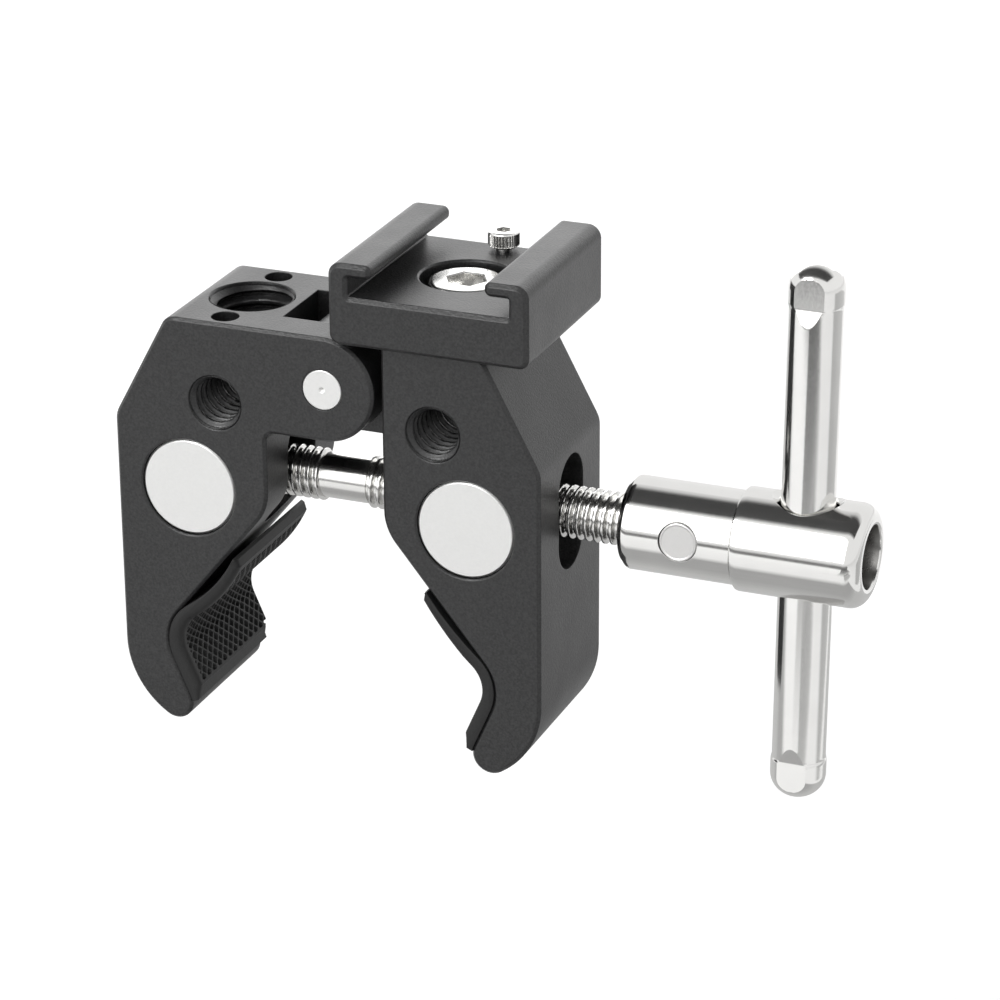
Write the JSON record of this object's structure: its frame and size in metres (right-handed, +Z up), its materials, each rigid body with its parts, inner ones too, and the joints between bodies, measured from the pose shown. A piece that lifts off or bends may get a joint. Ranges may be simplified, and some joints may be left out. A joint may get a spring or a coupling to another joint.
{
  "type": "super clamp",
  "caption": "Double-jaw screw clamp with rubber-padded V jaws, threaded holes, a cold shoe on top and a sliding T-bar handle.",
  "frame": {"origin": "centre of a tube gripped between the pads, in the middle of the jaws' thickness", "axes": "+X along the screw towards the handle, +Y across the jaws along a gripped tube, +Z up towards the hinge and the shoe"},
  "size_m": [0.0876, 0.0228, 0.0628],
  "materials": {
    "black_anodised": "bead blasted and black anodised",
    "pad_rubber": "matte, with a diamond grip pattern",
    "satin_steel": "fine turned, matte",
    "polished_stainless": "polished"
  },
  "bodies": {
    "left_jaw": {"left_jaw": "black_anodised", "hinge_pin": "polished_stainless", "left_pad": "pad_rubber"},
    "right_jaw": {"right_jaw": "black_anodised", "right_pad": "pad_rubber", "cold_shoe": "black_anodised", "shoe_screw": "polished_stainless", "shoe_stop_screw": "polished_stainless"},
    "left_nut": {"left_barrel_nut": "satin_steel"},
    "right_nut": {"right_barrel_nut": "satin_steel"},
    "stop_ring": {"screw_stop_ring": "polished_stainless"},
    "screw": {"clamp_screw": "polished_stainless", "handle_hub": "polished_stainless", "hub_cross_pin": "satin_steel"},
    "t_bar": {"t_bar": "polished_stainless"}
  },
  "joints": [
    {"name": "jaw_swing", "type": "hinge", "parent": "left_jaw", "child": "right_jaw", "pos_m": [0, 0, 0.0332], "axis": [0, 1, 0], "range_deg": [-12, 40]},
    {"name": "left_nut_tilt", "type": "hinge", "parent": "left_jaw", "child": "left_nut", "pos_m": [-0.0169, 0, 0.019], "axis": [0, 1, 0], "range_deg": [-6, 20]},
    {"name": "right_nut_tilt", "type": "hinge", "parent": "right_jaw", "child": "right_nut", "pos_m": [0.0169, 0, 0.019], "axis": [0, 1, 0], "range_deg": [-20, 6]},
    {"name": "screw_travel", "type": "slide", "parent": "left_nut", "child": "stop_ring", "axis": [1, 0, 0], "range_m": [-0.00592, 0.00178]},
    {"name": "handle_turn", "type": "hinge", "parent": "stop_ring", "child": "screw", "pos_m": [0, 0, 0.019], "axis": [-1, 0, 0], "range_deg": [-638, 2127]},
    {"name": "t_bar_slide", "type": "slide", "parent": "screw", "child": "t_bar", "axis": [0, 0.0288, 0.9996], "range_m": [-0.0212, 0.0188]}
  ],
  "couplings": [
    {"joint": "jaw_swing", "follows": "handle_turn", "ratio": 0.018801},
    {"joint": "left_nut_tilt", "follows": "handle_turn", "ratio": 0.0094005},
    {"joint": "right_nut_tilt", "follows": "handle_turn", "ratio": -0.0094005},
    {"joint": "screw_travel", "follows": "handle_turn", "m_per_rad": -0.00015915}
  ]
}
